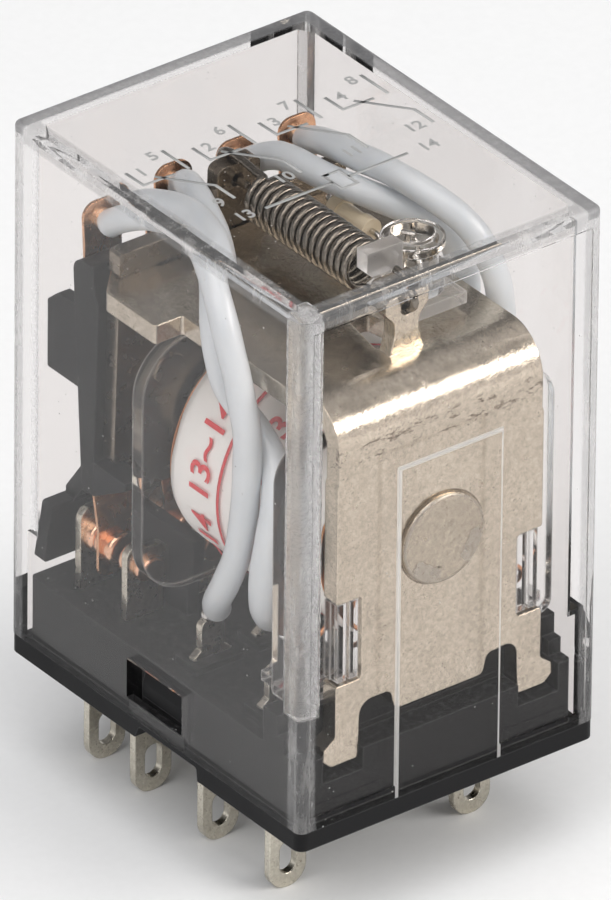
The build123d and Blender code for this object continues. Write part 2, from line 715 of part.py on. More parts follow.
def make_led_wires():
    """Bare wires from the lamp and its resistor to the coil terminals."""
    inner = tube(((-2.35, 3.8, 29.3), (-3.2, 3.9, 29.4), (-3.6, 4.9, 29.3), (-2.6, 5.6, 29.0)), 0.35)
    outer = tube(((1.15, 3.8, 29.3), (1.8, 3.8, 29.3), (2.4, 3.7, 28.8), (3.05, 3.6, 28.3)), 0.35)
    return Compound([inner, outer])


def make_coil_leads():
    """Enamelled wires from the winding down to the coil terminals."""
    ends = []
    for side in (-1, 1):
        points = (
            (9.2, side * 6.0, 12.0),
            (9.2, side * 7.4, 11.0),
            (8.6, side * 7.5, 9.8),
            (7.8, side * 7.0, 9.3),
        )
        ends.append(tube(points, 0.3))
    return Compound(ends)


def main():
    os.makedirs("parts", exist_ok=True)
    save("base", make_base())
    save("dust_cover", make_cover())
    half = BLADE_W / 2
    leads = []
    for number, y in enumerate(COLUMNS, 1):
        save(f"nc_terminal_{number}", make_terminal(ROW_NC, y, NC_TOP, half, CONTACT_Z))
        save(f"no_terminal_{number + 4}", make_terminal(ROW_NO, y, NO_TOP, half, CONTACT_Z))
        save(f"common_terminal_{number + 8}", make_terminal(ROW_COMMON, y, COMMON_TOP, 0.8))
        save(f"nc_contact_{number}", make_fixed_contact(ROW_NC, y, 1))
        save(f"no_contact_{number + 4}", make_fixed_contact(ROW_NO, y, -1))
        save(f"moving_blade_{number}", make_moving_blade(y))
        save(f"moving_contact_{number}", make_moving_contact(y))
        leads.append(make_lead(number - 1))
        save(f"lead_wire_{number}", leads[-1])
    for number, y in zip((13, 14), COIL_COLUMNS):
        save(f"coil_terminal_{number}", make_terminal(ROW_COIL, y, COIL_TOP, 0.8))
    save("contact_carrier", make_carrier())
    save("armature", make_armature())
    save("armature_rivets", make_armature_rivets())
    save("yoke", make_yoke())
    save("core", make_core())
    save("shading_ring", make_shading_ring())
    save("bobbin", make_bobbin())
    save("coil_winding", make_winding())
    save("coil_tape", make_tape())
    save("coil_leads", make_coil_leads())
    save("return_spring", make_spring())
    save("blade_solder", make_blade_solder(leads))
    save("terminal_solder", make_terminal_solder())
    save("indicator_led", make_led())
    save("led_holder", make_led_holder())
    save("led_resistor", make_resistor())
    save("led_wires", make_led_wires())


if __name__ == "__main__":
    main()
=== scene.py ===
import math

import bpy
from mathutils import Matrix, Vector, noise


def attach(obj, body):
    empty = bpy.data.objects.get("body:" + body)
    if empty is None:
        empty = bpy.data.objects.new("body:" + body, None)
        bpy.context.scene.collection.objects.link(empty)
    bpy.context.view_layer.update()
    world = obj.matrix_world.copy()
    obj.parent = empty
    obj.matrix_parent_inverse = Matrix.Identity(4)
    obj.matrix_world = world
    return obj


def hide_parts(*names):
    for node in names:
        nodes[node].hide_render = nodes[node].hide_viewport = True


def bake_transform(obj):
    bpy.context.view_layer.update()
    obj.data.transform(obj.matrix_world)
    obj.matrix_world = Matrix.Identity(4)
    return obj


# A plug-in relay under a clear cover. X points to the coil's end, Y along the row of poles, Z up.
# Lengths are written in millimetres and turned into metres by MM, except the camera's distance,
# the lights and the floor, which are in metres.
MM = 0.001
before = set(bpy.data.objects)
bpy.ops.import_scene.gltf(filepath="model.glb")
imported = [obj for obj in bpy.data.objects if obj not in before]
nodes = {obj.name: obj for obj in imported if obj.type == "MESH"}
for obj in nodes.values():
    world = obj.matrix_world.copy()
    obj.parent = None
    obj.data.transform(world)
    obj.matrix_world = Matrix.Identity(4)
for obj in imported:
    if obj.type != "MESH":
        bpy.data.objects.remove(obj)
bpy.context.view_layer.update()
scene = bpy.context.scene

# Places shared with the frame
ROOF_Z = 35.2
FLOOR_Z = -6.8
COLUMNS = (-6.6, -2.2, 2.2, 6.6)
COIL_COLUMNS = (-6.6, 6.6)
ROW_COMMON = 0.9
ROW_COIL = 7.25
COIL_Z = 16.8
TAPE_R = 7.4
TAPE_X = (-2.2, 9.65)
LEAD_D = 1.65
YOKE_FACE_X = 12.2
CORE_END_R = 2.86
COVER_X = 13.7

# The cover's inner faces, and over what length a rim's painted light and painted shade fade in before them
INNER_X = 12.7
INNER_Y = 9.55
INNER_Z = 34.3
RIM_FADE = 0.3
# The same for the painted shade of the dark rim on the roof
DARK_RIM_FADE = 0.2

# Bands: none up to the first value, full between the second and third, none from the fourth on.
# The frosted ribs in the cover's inner corners, as distances from the middle in X and Y
RIB_X = (11.5, 11.6, 12.62, 12.66)
RIB_Y = (8.75, 8.85, 9.48, 9.5)
RIB_Z = (8.1, 8.2, 34.15, 34.3)
# Cracked plating under the yoke's bend
CRACKS_Z = (23.0, 23.8, 24.9, 25.2)

# The outline of the thin panel moulded in the cover's end wall, drawn as a painted highlight along its edges
PANEL_Y = 3.65
PANEL_TOP = 23.0
PANEL_LINE = 0.11

# Rays that have gone through more surfaces than this pass straight out of the clear plastic
DEEP_RAY = 4.5

CAMERA_AZIMUTH = 52.458
CAMERA_ELEVATION = 31.517
CAMERA_ROLL = 0.5928
CAMERA_TARGET = (0.1476, 0, 16.277)
CAMERA_DISTANCE = 1.4
CAMERA_LENS = 986.81
CAMERA_SENSOR = 36

# Name, direction, distance, size, power in watts and colour
LIGHTS = (
    ("soft_right", (0.74, 0.53, 0.46), 0.6, (0.5, 0.17), 2.2, (1, 0.98, 0.95)),
    ("soft_front", (0.2, -0.9, 0.55), 0.7, (0.6, 0.5), 1.5, (1, 1, 1)),
    ("soft_top", (0.3, -0.35, 1.0), 1.1, (1.1, 1.1), 7.5, (1, 1, 1)),
)
LIGHT_AIM = (0, 0, 0.015)
FLOOR_HALF = 1.5

# The studio's brightness by height, from the horizon at 0 to straight up at 1
HORIZON = (0.9, 0.9, 0.9)
ZENITH = (0.9, 0.91, 0.93)
SKY_GREYS = ((0.1, 0.8), (0.22, 0.2), (0.62, 0.09), (0.8, 0.4))


# ---------------------------------------------------------------- camera, light and floor

def make_camera():
    azimuth = math.radians(CAMERA_AZIMUTH)
    elevation = math.radians(CAMERA_ELEVATION)
    roll = math.radians(CAMERA_ROLL)
    back = Vector((
        math.sin(azimuth) * math.cos(elevation),
        -math.cos(azimuth) * math.cos(elevation),
        math.sin(elevation),
    ))
    level = (-back).cross(Vector((0, 0, 1))).normalized()
    upright = level.cross(-back)
    right = level * math.cos(roll) + upright * math.sin(roll)
    up = upright * math.cos(roll) - level * math.sin(roll)
    turn = Matrix((right, up, back)).transposed().to_4x4()
    camera = bpy.data.objects.new("camera", bpy.data.cameras.new("camera"))
    place = Vector(CAMERA_TARGET) * MM + back * CAMERA_DISTANCE
    camera.matrix_world = Matrix.Translation(place) @ turn
    camera.data.sensor_width = CAMERA_SENSOR
    camera.data.lens = CAMERA_LENS
    camera.data.clip_start = 0.05
    camera.data.clip_end = 20
    scene.collection.objects.link(camera)
    scene.camera = camera


def make_light(name, direction, distance, size, power, colour):
    """A soft box that looks at the relay from a direction."""
    data = bpy.data.lights.new(name, "AREA")
    data.shape = "RECTANGLE"
    data.size, data.size_y = size
    data.energy = power
    data.color = colour
    light = bpy.data.objects.new(name, data)
    aim = Vector(direction).normalized()
    light.location = Vector(LIGHT_AIM) + aim * distance
    light.rotation_euler = aim.to_track_quat("Z", "Y").to_euler()
    scene.collection.objects.link(light)


def make_world():
    world = bpy.data.worlds.new("studio")
    world.use_nodes = True
    tree = world.node_tree
    tree.nodes.clear()
    out = tree.nodes.new("ShaderNodeOutputWorld")
    back = tree.nodes.new("ShaderNodeBackground")
    ramp = tree.nodes.new("ShaderNodeValToRGB")
    split = tree.nodes.new("ShaderNodeSeparateXYZ")
    place = tree.nodes.new("ShaderNodeTexCoord")
    tree.links.new(place.outputs["Generated"], split.inputs[0])
    tree.links.new(split.outputs["Z"], ramp.inputs[0])
    tree.links.new(ramp.outputs[0], back.inputs["Color"])
    tree.links.new(back.outputs[0], out.inputs["Surface"])
    stops = ramp.color_ramp.elements
    stops[0].position = 0.0
    stops[0].color = HORIZON + (1,)
    stops[1].position = 1.0
    stops[1].color = ZENITH + (1,)
    for position, grey in SKY_GREYS:
        stop = stops.new(position)
        stop.color = (grey, grey, grey * 1.02, 1)
    back.inputs["Strength"].default_value = 1.0
    scene.world = world


def make_floor():
    data = bpy.data.meshes.new("floor")
    corners = ((-1, -1), (1, -1), (1, 1), (-1, 1))
    verts = [(x * FLOOR_HALF, y * FLOOR_HALF, FLOOR_Z * MM) for x, y in corners]
    data.from_pydata(verts, [], [(0, 1, 2, 3)])
    floor = bpy.data.objects.new("floor", data)
    scene.collection.objects.link(floor)
    paint = Paint("floor_paper")
    colour = paint.mix(paint.noise(0.6, 3), (0.84, 0.84, 0.84), (0.88, 0.88, 0.88))
    data.materials.append(paint.finish(paint.plastic(colour, 0.9)))


# ---------------------------------------------------------------- materials

class Paint:
    """A procedural material, put together from a few kinds of texture. Sizes are in millimetres."""

    def __init__(self, name):
        self.material = bpy.data.materials.new(name)
        self.material.use_nodes = True
        self.tree = self.material.node_tree
        self.tree.nodes.clear()
        self.output = self.tree.nodes.new("ShaderNodeOutputMaterial")
        self.place = self.tree.nodes.new("ShaderNodeTexCoord").outputs["Object"]
        self.geometry = self.tree.nodes.new("ShaderNodeNewGeometry")

    # Nodes

    def put(self, socket, value):
        if isinstance(value, bpy.types.NodeSocket):
            self.tree.links.new(value, socket)
        elif isinstance(value, tuple) and len(value) == 3 and socket.type == "RGBA":
            socket.default_value = value + (1,)
        else:
            socket.default_value = value

    def node(self, kind, inputs, **settings):
        node = self.tree.nodes.new(kind)
        for key, value in settings.items():
            setattr(node, key, value)
        for key, value in inputs.items():
            self.put(node.inputs[key], value)
        return node

    def math(self, operation, a, b=0.0):
        return self.node("ShaderNodeMath", {0: a, 1: b}, operation=operation).outputs[0]

    def add(self, first, *rest):
        for value in rest:
            first = self.math("ADD", first, value)
        return first

    def times(self, first, *rest):
        for value in rest:
            first = self.math("MULTIPLY", first, value)
        return first

    def span(self, value, low, high, to_low=0.0, to_high=1.0):
        """Goes from to_low to to_high as the value goes from low to high, and stops there."""
        inputs = {"Value": value, "From Min": low, "From Max": high, "To Min": to_low, "To Max": to_high}
        return self.node("ShaderNodeMapRange", inputs, clamp=True).outputs[0]

    def mix(self, factor, a, b):
        inputs = {0: factor, 6: a, 7: b}
        return self.node("ShaderNodeMix", inputs, data_type="RGBA").outputs[2]

    # Textures

    def stretched(self, scale):
        if scale is None:
            return self.place
        return self.node("ShaderNodeMapping", {"Vector": self.place, "Scale": scale}).outputs[0]

    def noise(self, size, detail, rough=0.5, stretch=None):
        place = self.stretched(stretch)
        inputs = {"Vector": place, "Scale": 1 / MM / size, "Detail": detail, "Roughness": rough}
        return self.node("ShaderNodeTexNoise", inputs).outputs[0]

    def cells(self, size, stretch=None):
        inputs = {"Vector": self.stretched(stretch), "Scale": 1 / MM / size}
        return self.node("ShaderNodeTexVoronoi", inputs).outputs[0]

    # Where on the object

    def parts(self):
        """X, Y and Z in millimetres."""
        inputs = {0: self.place, "Scale": 1 / MM}
        scaled = self.node("ShaderNodeVectorMath", inputs, operation="SCALE").outputs[0]
        split = self.node("ShaderNodeSeparateXYZ", {0: scaled}).outputs
        return split["X"], split["Y"], split["Z"]

    def band(self, value, start, full, fading, end):
        """One from full to fading, none before start and after end."""
        return self.times(self.span(value, start, full), self.span(value, end, fading))

    def near(self, value, middle, reach):
        """One within reach of a value, none beyond it."""
        away = self.math("ABSOLUTE", self.math("SUBTRACT", value, middle))
        return self.span(away, reach * 1.1, reach)

    def facing_up(self):
        normal = self.geometry.outputs["Normal"]
        up = self.node("ShaderNodeSeparateXYZ", {0: normal}).outputs["Z"]
        return self.span(up, 0.6, 0.95)

    # Relief

    def bevel(self, radius):
        return self.node("ShaderNodeBevel", {"Radius": radius * MM}, samples=4).outputs[0]

    def edges(self, radius):
        """One at sharp edges, none on flat faces."""
        inputs = {0: self.bevel(radius), 1: self.geometry.outputs["Normal"]}
        dot = self.node("ShaderNodeVectorMath", inputs, operation="DOT_PRODUCT").outputs["Value"]
        return self.span(dot, 0.995, 0.8)

    def bump(self, height, distance, strength, normal=None):
        inputs = {"Height": height, "Distance": distance * MM, "Strength": strength}
        if normal:
            inputs["Normal"] = normal
        return self.node("ShaderNodeBump", inputs).outputs[0]

    # Shaders

    def shader(self, inputs):
        return self.node("ShaderNodeBsdfPrincipled", inputs).outputs[0]

    def plastic(self, colour, roughness, normal=None, **more):
        inputs = {"Base Color": colour, "Roughness": roughness}
        if normal:
            inputs["Normal"] = normal
        inputs.update(more)
        return self.shader(inputs)

    def metal(self, colour, roughness, normal):
        return self.plastic(colour, roughness, normal, Metallic=1.0)

    def mix_shaders(self, factor, first, second):
        return self.node("ShaderNodeMixShader", {0: factor, 1: first, 2: second}).outputs[0]

    def finish(self, shader):
        self.tree.links.new(shader, self.output.inputs["Surface"])
        return self.material


def scaled(colour, factor):
    """A colour made lighter or darker."""
    return tuple(min(1.0, part * factor) for part in colour)


def clear_surface(paint, roughness, dust, haze):
    """The roughness with its flow lines, the height of the ripples, and the dust and haze."""
    flow = paint.noise(9.0, 2, stretch=(1, 1, 0.35))
    ripple = paint.noise(2.2, 2)
    lines = paint.span(paint.cells(2.6, stretch=(1.0, 0.05, 0.7)), 0.012, 0.0)
    rough = paint.add(paint.span(flow, 0.3, 0.7, roughness, roughness * 2.5), paint.times(lines, 0.12))
    specks = paint.span(paint.cells(0.9), 0.075, 0.045)
    patches = paint.span(paint.noise(5.0, 3), 0.52, 0.62)
    haze_and_sheen = paint.add(paint.times(specks, patches, dust), haze)
    return rough, ripple, haze_and_sheen


def clear_body(paint, tint, rough, normal, haze_and_sheen):
    """Clear plastic, dull and white where the haze and sheen is: real dust and haze, and painted highlights
    and painted light.
    """
    body = paint.shader({
        "Base Color": tint,
        "Roughness": rough,
        "IOR": 1.58,
        "Transmission Weight": 1.0,
        "Specular Tint": (0.0, 0.0, 0.0),
        "Normal": normal,
    })
    dull = paint.plastic((0.75, 0.74, 0.73), 0.8)
    glow = paint.node("ShaderNodeBsdfTranslucent", {"Color": (0.85, 0.85, 0.84)}).outputs[0]
    return paint.mix_shaders(haze_and_sheen, body, paint.mix_shaders(0.5, dull, glow))


def finish_clear(paint, body, tint):
    """Lets light reach what is inside, straight through the plastic."""
    ray = paint.tree.nodes.new("ShaderNodeLightPath").outputs
    straight = paint.math("MAXIMUM", ray["Is Shadow Ray"], ray["Is Diffuse Ray"])
    # Light that has been thrown about inside the plastic for long finds its way out
    deep = paint.math("GREATER_THAN", ray["Ray Depth"], DEEP_RAY)
    straight = paint.math("MAXIMUM", straight, deep)
    through_tint = tuple(0.97 * math.sqrt(part) for part in tint)
    through = paint.node("ShaderNodeBsdfTransparent", {"Color": through_tint}).outputs[0]
    return paint.finish(paint.mix_shaders(straight, body, through))


def clear_plastic(name, tint, roughness, dust, haze):
    """Clear moulded plastic with softened edges, painted a little white as a painted highlight."""
    paint = Paint(name)
    rough, ripple, haze_and_sheen = clear_surface(paint, roughness, dust, haze)
    normal = paint.bump(ripple, 0.004, 0.35, paint.bevel(0.1))
    # Painted highlight: the edges are whitened in the haze and sheen
    haze_and_sheen = paint.add(haze_and_sheen, paint.times(paint.edges(0.3), 0.4))
    return finish_clear(paint, clear_body(paint, tint, rough, normal, haze_and_sheen), tint)


def cover_plastic():
    """The cover's clear plastic, with frosted ribs, rims in painted light and painted shade with streaks, and
    the panel's outline as a painted highlight.
    """
    tint = (0.94, 0.92, 0.912)
    paint = Paint("cover_plastic")
    rough, ripple, haze_and_sheen = clear_surface(paint, 0.008, 0.75, 0.002)
    normal = paint.bump(ripple, 0.004, 0.35)
    x, y, z = paint.parts()
    side_x = paint.math("ABSOLUTE", x)
    side_y = paint.math("ABSOLUTE", y)

    # The ribs are full at the corner of +X and -Y, and faint at the others
    rib = paint.times(paint.band(side_x, *RIB_X), paint.band(side_y, *RIB_Y), paint.band(z, *RIB_Z))
    rib = paint.times(rib, paint.span(paint.math("SUBTRACT", x, y), 10, 14, 0.12, 1.0))
    crystals = paint.noise(0.28, 4, 0.7)
    rough = paint.add(rough, paint.times(rib, 0.3))
    normal = paint.bump(paint.times(crystals, rib), 0.12, 0.9, normal)
    haze_and_sheen = paint.add(haze_and_sheen, paint.times(rib, paint.span(crystals, 0.35, 0.65, 0.04, 0.28)))

    # Rims: where two outer walls meet, seen through the thickness of the plastic. There a white haze is
    # painted light and a dark plastic is painted shade, for how light passes through the thick walls; the
    # streaks in them are partly dirt.
    walls = paint.add(
        paint.span(side_x, INNER_X - RIM_FADE, INNER_X),
        paint.span(side_y, INNER_Y - RIM_FADE, INNER_Y),
        paint.span(z, INNER_Z - RIM_FADE, INNER_Z),
    )
    rims = paint.span(walls, 1.2, 1.9)
    streaks = paint.span(paint.noise(0.9, 4, 0.7, stretch=(1, 1, 0.25)), 0.45, 0.7)
    haze_and_sheen = paint.add(haze_and_sheen, paint.times(rims, paint.add(0.12, paint.times(streaks, 0.28))))
    shade = paint.times(rims, paint.add(0.3, paint.times(streaks, -0.2)))
    # On the roof, the rims along the walls of +Y and -X are the darkest, in painted shade
    dark = paint.math(
        "MAXIMUM",
        paint.span(y, INNER_Y - DARK_RIM_FADE, INNER_Y),
        paint.span(x, DARK_RIM_FADE - INNER_X, -INNER_X),
    )
    dark = paint.times(dark, paint.span(z, INNER_Z + 0.2, INNER_Z + 0.4), 0.68)
    shade = paint.math("MAXIMUM", shade, dark)

    # Painted highlight: white lines along the panel's edges run up both sides and across the top, on the
    # outer face of +X only
    beside = paint.near(side_y, PANEL_Y, PANEL_LINE)
    across = paint.near(z, PANEL_TOP, PANEL_LINE)
    side = paint.times(beside, paint.span(z, PANEL_TOP + 0.1, PANEL_TOP + 0.05))
    top = paint.times(across, paint.span(side_y, PANEL_Y + 0.1, PANEL_Y + 0.05))
    outer = paint.span(x, COVER_X - 0.2, COVER_X - 0.18)
    haze_and_sheen = paint.add(haze_and_sheen, paint.times(paint.math("MAXIMUM", side, top), outer, 0.75))

    body = clear_body(paint, tint, rough, normal, haze_and_sheen)
    # Painted shade: the rims turn to a dark plastic
    body = paint.mix_shaders(shade, body, paint.plastic((0.13, 0.13, 0.135), 0.4))
    return finish_clear(paint, body, tint)


def black_plastic(name, roughness, dust):
    """Black moulded plastic with a fine grain, worn edges and lint on what faces up."""
    colour = (0.006, 0.006, 0.0065)
    paint = Paint(name)
    flow = paint.noise(4.0, 3)
    base = paint.mix(flow, colour, scaled(colour, 1.7))
    base = paint.mix(paint.times(paint.edges(0.12), 0.35), base, (0.16, 0.16, 0.165))
    lint = paint.times(paint.span(paint.noise(0.35, 4, 0.7), 0.5, 0.75), paint.facing_up())
    base = paint.mix(paint.times(lint, dust), base, (0.3, 0.3, 0.31))
    rough = paint.span(flow, 0.3, 0.7, roughness * 0.85, roughness * 1.2)
    normal = paint.bump(paint.noise(0.12, 2), 0.01, 0.5, paint.bevel(0.09))
    return paint.finish(paint.plastic(base, rough, normal, **{"Specular IOR Level": 0.13}))


def yoke_cracks_and_shade(paint):
    """Cracks in the plating under the bend, and painted shade in a ring round the core's riveted end."""
    x, y, z = paint.parts()
    side_x = paint.math("ABSOLUTE", x)
    below = paint.times(paint.band(z, *CRACKS_Z), paint.span(side_x, YOKE_FACE_X - 0.4, YOKE_FACE_X - 0.3))
    cracks = paint.span(paint.noise(0.6, 5, 0.75, stretch=(1, 0.45, 1.5)), 0.56, 0.62)
    rise = paint.math("SUBTRACT", z, COIL_Z)
    far = paint.math("SQRT", paint.add(paint.times(y, y), paint.times(rise, rise)))
    face = paint.span(side_x, YOKE_FACE_X - 0.3, YOKE_FACE_X - 0.2)
    # Painted shade: a dark ring where the core's riveted end meets the yoke
    ring = paint.times(paint.near(far, CORE_END_R + 0.07, 0.05), face)
    return paint.math("MAXIMUM", paint.times(cracks, below, 0.8), paint.times(ring, 0.75))


def plated_metal(name, light, dark, roughness, grain=0.25, depth=0.012, worn=0.5, radius=0.1, stains=0.45,
                 marks=None):
    """Plated or bare metal with a fine grain of a size and depth, darker specks and stains, edges
    worn bright over a radius, and its own marks and painted shade."""
    paint = Paint(name)
    dim = tuple(0.86 * a + 0.14 * b for a, b in zip(light, dark))
    colour = paint.mix(paint.span(paint.noise(3.5, 4, 0.6), 0.35, 0.65), light, dim)
    colour = paint.mix(paint.span(paint.noise(0.3, 4, 0.75), 0.35, 0.65, 0.0, 0.28), colour, dark)
    specks = paint.span(paint.noise(0.14, 2, 0.6), 0.6, 0.7)
    specks = paint.times(specks, paint.span(paint.noise(1.5, 2), 0.4, 0.6), 0.7)
    colour = paint.mix(specks, colour, dark)
    stain = paint.span(paint.noise(1.1, 5, 0.65), 0.62, 0.75)
    colour = paint.mix(paint.times(stain, stains), colour, dark)
    if marks:
        colour = paint.mix(marks(paint), colour, dark)
    edge = paint.edges(radius)
    colour = paint.mix(paint.times(edge, worn), colour, scaled(light, 1.15))
    rough = paint.span(paint.noise(0.8, 3), 0.3, 0.7, roughness * 0.8, roughness * 1.25)
    rough = paint.math("SUBTRACT", rough, paint.times(edge, roughness * 0.4))
    normal = paint.bump(paint.noise(grain, 3, 0.6), depth, 0.6, paint.bevel(radius))
    return paint.finish(paint.metal(colour, rough, normal))


def lead_plastic():
    """Soft grey insulation with a little dirt."""
    paint = Paint("lead_plastic")
    colour = paint.mix(paint.noise(2.5, 3), (0.56, 0.6, 0.63), (0.66, 0.69, 0.71))
    dirt = paint.span(paint.noise(0.5, 4, 0.7), 0.68, 0.76)
    colour = paint.mix(paint.times(dirt, 0.3), colour, (0.35, 0.32, 0.3))
    normal = paint.bump(paint.noise(0.9, 2), 0.03, 0.35)
    return paint.finish(paint.plastic(colour, 0.36, normal, **{
        "Subsurface Weight": 0.25,
        "Subsurface Radius": (0.0006, 0.0007, 0.0008),
        "Subsurface Scale": 1.0,
        "Coat Weight": 0.35,
        "Coat Roughness": 0.12,
    }))


def tape_film():
    """White tape with a fine weave, a little pink where the layer below prints through."""
    paint = Paint("tape_film")
    colour = paint.mix(paint.noise(3.0, 3), (0.86, 0.83, 0.8), (0.93, 0.9, 0.87))
    pink = paint.span(paint.noise(2.2, 2), 0.56, 0.7)
    colour = paint.mix(paint.times(pink, 0.25), colour, (0.85, 0.62, 0.6))
    normal = paint.bump(paint.noise(0.15, 2, stretch=(1, 0.2, 0.2)), 0.01, 0.4)
    return paint.finish(paint.plastic(colour, 0.42, normal, **{
        "Subsurface Weight": 0.2,
        "Subsurface Radius": (0.0005, 0.0004, 0.0004),
        "Subsurface Scale": 1.0,
    }))


def ink(name, colour):
    """Printed ink, slightly uneven."""
    paint = Paint(name)
    worn = paint.noise(0.15, 3, 0.7)
    shade = paint.mix(paint.span(worn, 0.4, 0.7), colour, scaled(colour, 0.82))
    return paint.finish(paint.plastic(shade, 0.5, paint.bump(worn, 0.004, 0.3)))


def wound_wire():
    """The coil's copper wire, with one band of the texture for each turn, darkened between the turns in
    painted shade.
    """
    turn_pitch = 0.16
    paint = Paint("wound_wire")
    inputs = {"Vector": paint.place, "Scale": 1 / MM / 6.28 / turn_pitch, "Distortion": 0.4}
    turns = paint.node("ShaderNodeTexWave", inputs, wave_type="BANDS", bands_direction="X").outputs[1]
    # Painted shade: each band goes dark where two turns meet
    colour = paint.mix(turns, (0.35, 0.12, 0.05), (0.8, 0.42, 0.22))
    return paint.finish(paint.metal(colour, 0.3, paint.bump(turns, 0.05, 0.8)))


def resistor_paint():
    paint = Paint("resistor_paint")
    flow = paint.noise(0.8, 3)
    colour = paint.mix(flow, (0.66, 0.55, 0.38), (0.75, 0.66, 0.5))
    return paint.finish(paint.plastic(colour, 0.4, paint.bump(flow, 0.03, 0.4), **{"Coat Weight": 0.4}))


def numbered(name, first, last):
    return [f"{name}_{k}" for k in range(first, last + 1)]


TERMINALS = numbered("nc_terminal", 1, 4) + numbered("no_terminal", 5, 8) + numbered("common_terminal", 9, 12)
TERMINALS += numbered("coil_terminal", 13, 14)
CONTACTS = numbered("nc_contact", 1, 4) + numbered("no_contact", 5, 8) + numbered("moving_contact", 1, 4)

# Material, the nodes that have it, light and dark colour, roughness, and what isn't as usual
METALS = (
    ("terminal_plate", TERMINALS, (0.78, 0.74, 0.64), (0.2, 0.15, 0.1), 0.28,
     dict(grain=0.5, depth=0.01, worn=0.3)),
    ("contact_metal", CONTACTS, (0.95, 0.58, 0.4), (0.4, 0.17, 0.09), 0.16,
     dict(grain=0.3, depth=0.006)),
    ("blade_metal", numbered("moving_blade", 1, 4), (0.86, 0.5, 0.31), (0.28, 0.14, 0.08), 0.25,
     dict(grain=0.4, depth=0.006, worn=0.6, radius=0.05)),
    ("yoke_plate", ["yoke"], (0.7, 0.63, 0.525), (0.16, 0.12, 0.09), 0.22,
     dict(grain=0.36, depth=0.03, radius=0.12, stains=0.1, marks=yoke_cracks_and_shade)),
    ("core_end_metal", [], (0.56, 0.5, 0.41), (0.16, 0.12, 0.09), 0.22,
     dict(grain=0.4, worn=0.6, radius=0.14, stains=0.3)),
    ("core_metal", ["core"], (0.5, 0.46, 0.4), (0.2, 0.16, 0.12), 0.3,
     dict(grain=0.4)),
    ("armature_plate", ["armature", "armature_rivets"], (0.3, 0.26, 0.21), (0.1, 0.07, 0.05), 0.24,
     dict(grain=0.35, depth=0.01)),
    ("ring_metal", ["shading_ring"], (0.9, 0.5, 0.3), (0.3, 0.14, 0.08), 0.3,
     dict()),
    ("enamel_wire", ["coil_leads"], (0.75, 0.35, 0.18), (0.3, 0.12, 0.06), 0.3,
     dict(grain=0.3, depth=0.004, worn=0.2, radius=0.03)),
    ("tinned_wire", ["led_wires"], (0.75, 0.73, 0.7), (0.25, 0.23, 0.2), 0.25,
     dict(grain=0.3, depth=0.004, worn=0.2, radius=0.03)),
    ("solder_metal", ["blade_solder"], (0.7, 0.69, 0.66), (0.2, 0.18, 0.15), 0.26,
     dict(grain=0.5, depth=0.02, worn=0.2, radius=0.05)),
    ("spring_metal", [], (0.25, 0.23, 0.2), (0.1, 0.08, 0.06), 0.15,
     dict(grain=0.2, depth=0.003, worn=0.0)),
)


def use(material, *names):
    for name in names:
        mesh = nodes[name].data
        mesh.materials.clear()
        mesh.materials.append(material)


def paint_frame():
    """Every node that keeps its CAD shape gets its finish."""
    use(cover_plastic(), "dust_cover")
    use(clear_plastic("bobbin_plastic", (0.98, 0.98, 0.975), 0.02, 0.2, 0.012), "bobbin")
    use(clear_plastic("holder_plastic", (0.97, 0.97, 0.97), 0.2, 0.1, 0.14), "led_holder")
    use(clear_plastic("lamp_plastic", (0.98, 0.98, 0.97), 0.02, 0.0, 0.0), "indicator_led")
    use(black_plastic("base_plastic", 0.45, 0.2), "base")
    use(black_plastic("carrier_plastic", 0.4, 0.12), "contact_carrier")
    use(wound_wire(), "coil_winding")
    use(resistor_paint(), "led_resistor")
    for name, users, light, dark, roughness, more in METALS:
        use(plated_metal(name, light, dark, roughness, **more), *users)


# ---------------------------------------------------------------- mesh helpers

def piece(name, mesh, material, body=None):
    obj = bpy.data.objects.new(name, mesh)
    scene.collection.objects.link(obj)
    mesh.materials.clear()
    mesh.materials.append(material)
    for face in mesh.polygons:
        face.use_smooth = True
    if body:
        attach(obj, body)
    return obj


def made_mesh(name, data):
    """The mesh that a curve, a text or metaballs make."""
    holder = bpy.data.objects.new(name, data)
    scene.collection.objects.link(holder)
    bpy.context.view_layer.update()
    mesh = bpy.data.meshes.new_from_object(holder.evaluated_get(bpy.context.evaluated_depsgraph_get()))
    bpy.data.objects.remove(holder)
    return mesh


def plain_mesh(name, verts, faces):
    mesh = bpy.data.meshes.new(name)
    mesh.from_pydata(verts, [], faces)
    return mesh


def wire_mesh(name, points, diameter, sides=6, steps=10):
    """A round wire along a smooth curve that has these points as its control points."""
    curve = bpy.data.curves.new(name, "CURVE")
    curve.dimensions = "3D"
    curve.bevel_depth = diameter / 2 * MM
    curve.bevel_resolution = sides
    curve.resolution_u = steps
    curve.use_fill_caps = True
    spline = curve.splines.new("NURBS")
    spline.points.add(len(points) - 1)
    for point, place in zip(spline.points, points):
        point.co = (place[0] * MM, place[1] * MM, place[2] * MM, 1)
    spline.order_u = 3
    spline.use_endpoint_u = True
    mesh = made_mesh(name, curve)
    bpy.data.curves.remove(curve)
    mesh.name = name
    return mesh


def letter_mesh(text, size, offset, thickness=0.02):
    """Numbers as a thin mesh, in millimetres, standing on the X axis. The offset thickens them."""
    curve = bpy.data.curves.new("letters", "FONT")
    curve.body = text
    curve.size = size
    curve.extrude = thickness / 2
    curve.offset = offset
    curve.resolution_u = 4
    curve.align_x = "CENTER"
    mesh = made_mesh("letters", curve)
    bpy.data.curves.remove(curve)
    return mesh


